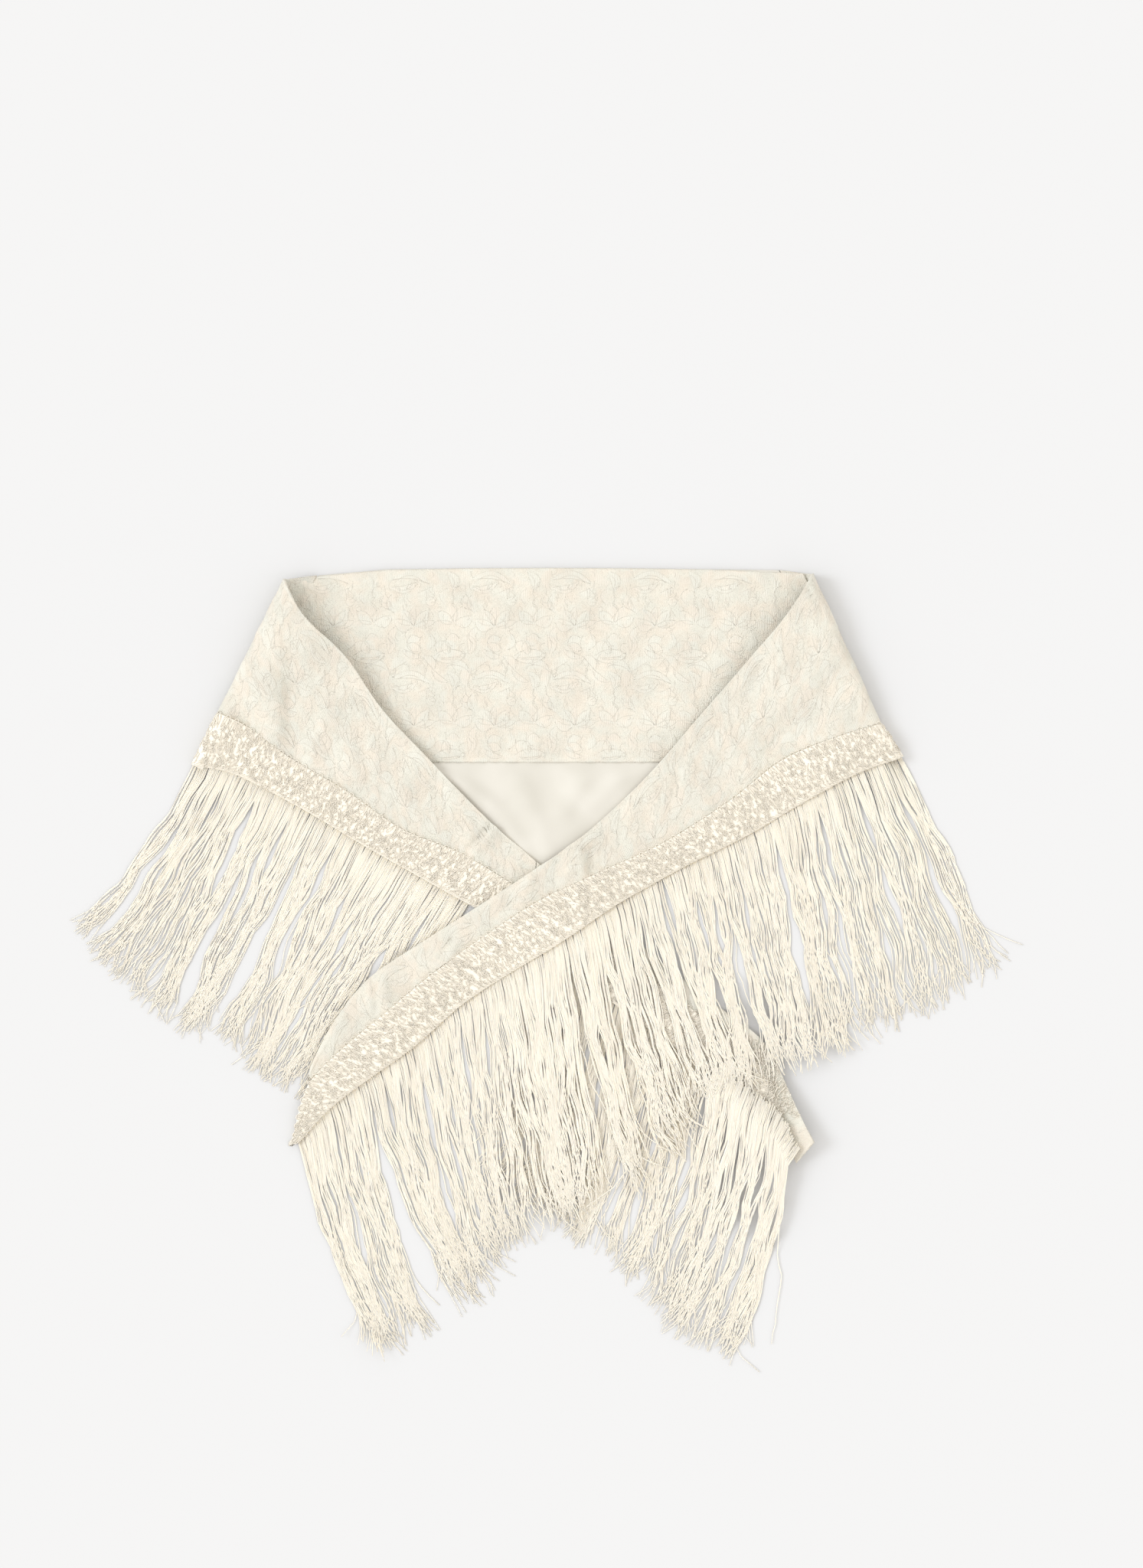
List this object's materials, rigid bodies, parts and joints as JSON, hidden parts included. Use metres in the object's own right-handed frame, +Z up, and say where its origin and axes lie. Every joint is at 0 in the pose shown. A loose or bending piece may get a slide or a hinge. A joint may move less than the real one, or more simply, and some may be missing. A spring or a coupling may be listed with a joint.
{
  "type": "fringed lace shawl laid flat",
  "caption": "Long triangular lace shawl with knotted braid and yarn fringe, laid flat with both ends folded down and crossed.",
  "frame": {"origin": "on the flat underside of the back, 111 mm below the middle of the neck edge, on the surface that the shawl lies on", "axes": "+X to the right seen from above, +Y towards the neck edge, +Z up from the surface"},
  "size_m": [0.8327, 0.7218, 0.0273],
  "materials": {
    "lining": "smooth matte ivory lining",
    "lace": "ivory floral lace with raised threads",
    "braid": "knotted and crocheted ivory yarn",
    "yarn": "twisted satin ivory yarn"
  },
  "bodies": {
    "root": {"back_lining": "lining", "back_lace_facing": "lace", "left_front": "lace", "left_front_end": "lace", "right_front": "lace", "left_braid": "braid", "left_end_braid": "braid", "right_braid": "braid", "left_fringe": "yarn", "left_end_fringe": "yarn", "right_fringe": "yarn"}
  },
  "joints": []
}
